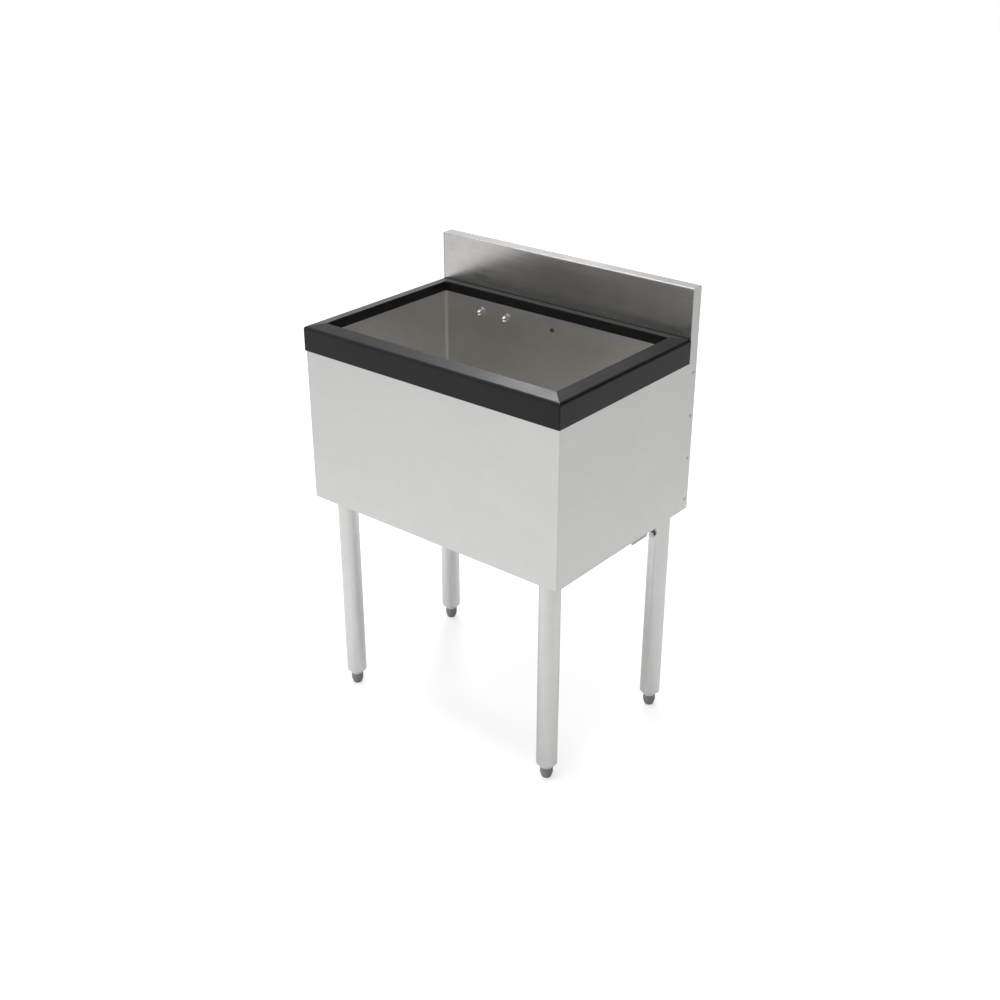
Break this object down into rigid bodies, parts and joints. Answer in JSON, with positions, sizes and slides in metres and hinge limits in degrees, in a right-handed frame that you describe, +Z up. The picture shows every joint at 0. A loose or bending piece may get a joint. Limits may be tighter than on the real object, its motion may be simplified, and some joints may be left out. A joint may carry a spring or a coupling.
{
  "type": "underbar ice chest",
  "caption": "Insulated stainless ice chest with a black moulded rim, a low backsplash, tubular legs, levelling feet and a floor drain with a lift-out strainer.",
  "frame": {"origin": "on the floor, under the middle of the whole width and depth", "axes": "+X to the right as one stands in front of the chest, +Y to the wall behind it, +Z up"},
  "size_m": [0.6114, 0.4342, 0.9101],
  "materials": {
    "cabinet_steel": "fine brushed stainless steel",
    "galvanised_steel": "galvanised sheet with a faint spangle",
    "rivet_steel": "plain drawn steel",
    "liner_steel": "brushed stainless steel with polished corners",
    "foam": "rigid foam skin",
    "black_plastic": "satin black moulded plastic with a fine grain",
    "fitting_steel": "turned and polished stainless steel",
    "seal_rubber": "smooth black rubber",
    "bracket_steel": "zinc plated plate",
    "leg_steel": "polished stainless tube",
    "insert_plastic": "light grey moulded plastic",
    "grey_plastic": "dark grey moulded plastic",
    "fastener_steel": "zinc plated screw steel"
  },
  "bodies": {
    "cabinet": {"outer_wrap": "cabinet_steel", "rear_panel": "galvanised_steel", "bottom_panel": "galvanised_steel", "rear_panel_rivets": "rivet_steel", "ice_liner": "liner_steel", "foam_insulation": "foam", "collar": "black_plastic", "backsplash": "cabinet_steel", "stud_plate": "bracket_steel", "wall_washers": "fitting_steel", "cap_nuts": "fitting_steel", "sensor_sleeve": "fitting_steel", "drain_gasket": "seal_rubber", "drain_body": "fitting_steel", "drain_washer": "seal_rubber", "drain_nut": "grey_plastic", "bracket_screws": "fastener_steel", "leg_set_screws": "fastener_steel", "leg_bracket_front_left": "bracket_steel", "leg_bracket_front_right": "bracket_steel", "leg_bracket_rear_left": "bracket_steel", "leg_bracket_rear_right": "bracket_steel", "leg_gusset_front_left": "bracket_steel", "leg_gusset_front_right": "bracket_steel", "leg_gusset_rear_left": "bracket_steel", "leg_gusset_rear_right": "bracket_steel", "leg_front_left": "leg_steel", "leg_front_right": "leg_steel", "leg_rear_left": "leg_steel", "leg_rear_right": "leg_steel", "foot_insert_front_left": "insert_plastic", "foot_insert_front_right": "insert_plastic", "foot_insert_rear_left": "insert_plastic", "foot_insert_rear_right": "insert_plastic"},
    "strainer": {"drain_strainer": "fitting_steel"},
    "levelling_foot_front_left": {"foot_front_left": "grey_plastic", "levelling_stud_front_left": "fastener_steel"},
    "levelling_foot_front_right": {"foot_front_right": "grey_plastic", "levelling_stud_front_right": "fastener_steel"},
    "levelling_foot_rear_left": {"foot_rear_left": "grey_plastic", "levelling_stud_rear_left": "fastener_steel"},
    "levelling_foot_rear_right": {"foot_rear_right": "grey_plastic", "levelling_stud_rear_right": "fastener_steel"}
  },
  "joints": [
    {"name": "strainer_lift", "type": "slide", "parent": "cabinet", "child": "strainer", "axis": [0, 0, 1], "range_m": [0, 0.05]},
    {"name": "foot_travel_front_left", "type": "slide", "parent": "cabinet", "child": "levelling_foot_front_left", "axis": [0, 0, -1], "range_m": [0, 0.025]},
    {"name": "foot_travel_front_right", "type": "slide", "parent": "cabinet", "child": "levelling_foot_front_right", "axis": [0, 0, -1], "range_m": [0, 0.025]},
    {"name": "foot_travel_rear_left", "type": "slide", "parent": "cabinet", "child": "levelling_foot_rear_left", "axis": [0, 0, -1], "range_m": [0, 0.025]},
    {"name": "foot_travel_rear_right", "type": "slide", "parent": "cabinet", "child": "levelling_foot_rear_right", "axis": [0, 0, -1], "range_m": [0, 0.025]}
  ]
}
